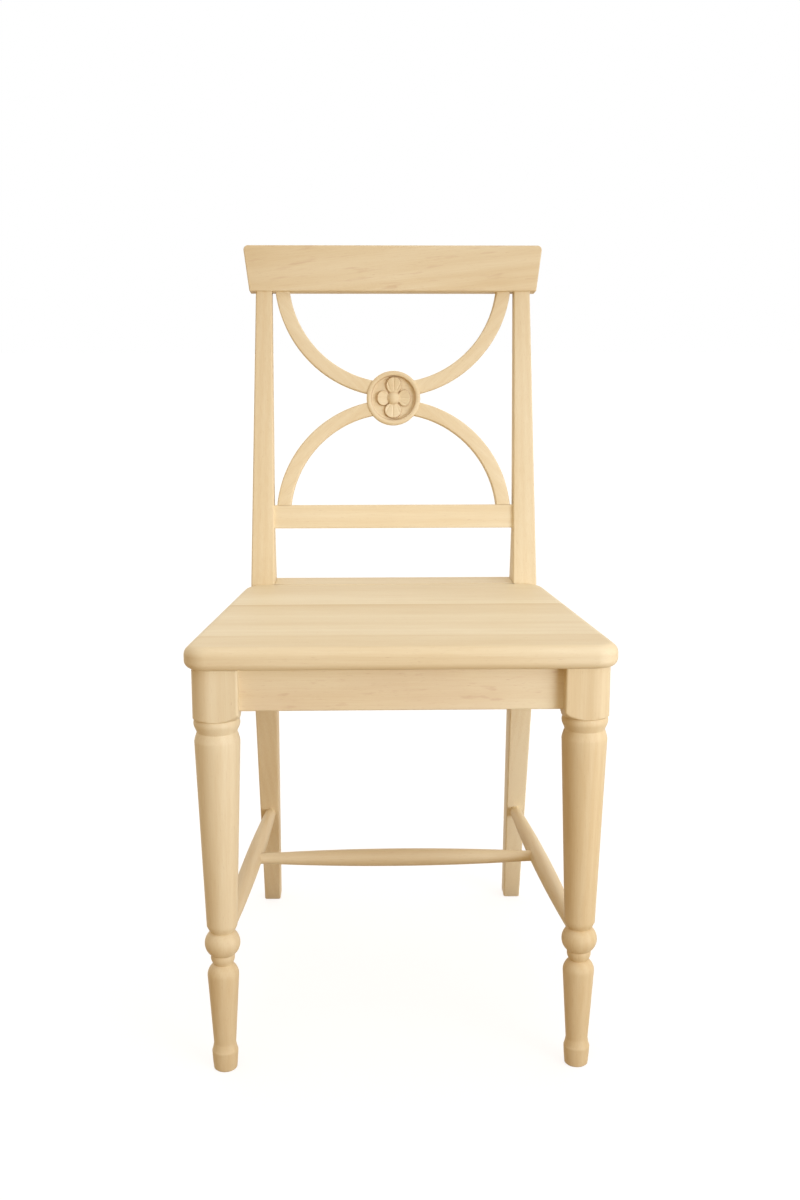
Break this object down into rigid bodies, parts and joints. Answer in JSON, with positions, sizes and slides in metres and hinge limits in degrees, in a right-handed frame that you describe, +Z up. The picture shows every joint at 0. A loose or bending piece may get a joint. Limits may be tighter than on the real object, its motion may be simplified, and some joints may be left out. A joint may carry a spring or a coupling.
{
  "type": "child chair",
  "caption": "Child's wooden side chair: turned front legs, raked rear posts, turned stretchers, board seat, and an open back whose arcs meet at a carved round medallion.",
  "frame": {"origin": "on the floor under the middle of the chair's bounding box", "axes": "+Z up, -Y to the front where the sitter's knees are, +X to the right of someone facing the chair"},
  "size_m": [0.3288, 0.3806, 0.657],
  "materials": {
    "pale_wood": "bare, sanded",
    "dowel_wood": "bare",
    "screw_steel": "zinc plated"
  },
  "bodies": {
    "root": {"arc_dowels": "dowel_wood", "corner_block_front_left": "pale_wood", "corner_block_front_right": "pale_wood", "corner_block_rear_left": "pale_wood", "corner_block_rear_right": "pale_wood", "corner_block_screws": "screw_steel", "crest_dowels": "dowel_wood", "crest_rail": "pale_wood", "cross_stretcher": "pale_wood", "front_apron": "pale_wood", "front_apron_dowels": "dowel_wood", "front_leg_left": "pale_wood", "front_leg_right": "pale_wood", "front_seat_board": "pale_wood", "left_apron": "pale_wood", "left_stretcher": "pale_wood", "lower_back_rail": "pale_wood", "lower_left_arc": "pale_wood", "lower_right_arc": "pale_wood", "medallion": "pale_wood", "middle_seat_board": "pale_wood", "rail_dowels": "dowel_wood", "rear_apron": "pale_wood", "rear_apron_dowels": "dowel_wood", "rear_post_left": "pale_wood", "rear_post_right": "pale_wood", "rear_seat_board": "pale_wood", "right_apron": "pale_wood", "right_stretcher": "pale_wood", "seat_screws": "screw_steel", "side_apron_dowels": "dowel_wood", "upper_left_arc": "pale_wood", "upper_right_arc": "pale_wood"}
  },
  "joints": []
}
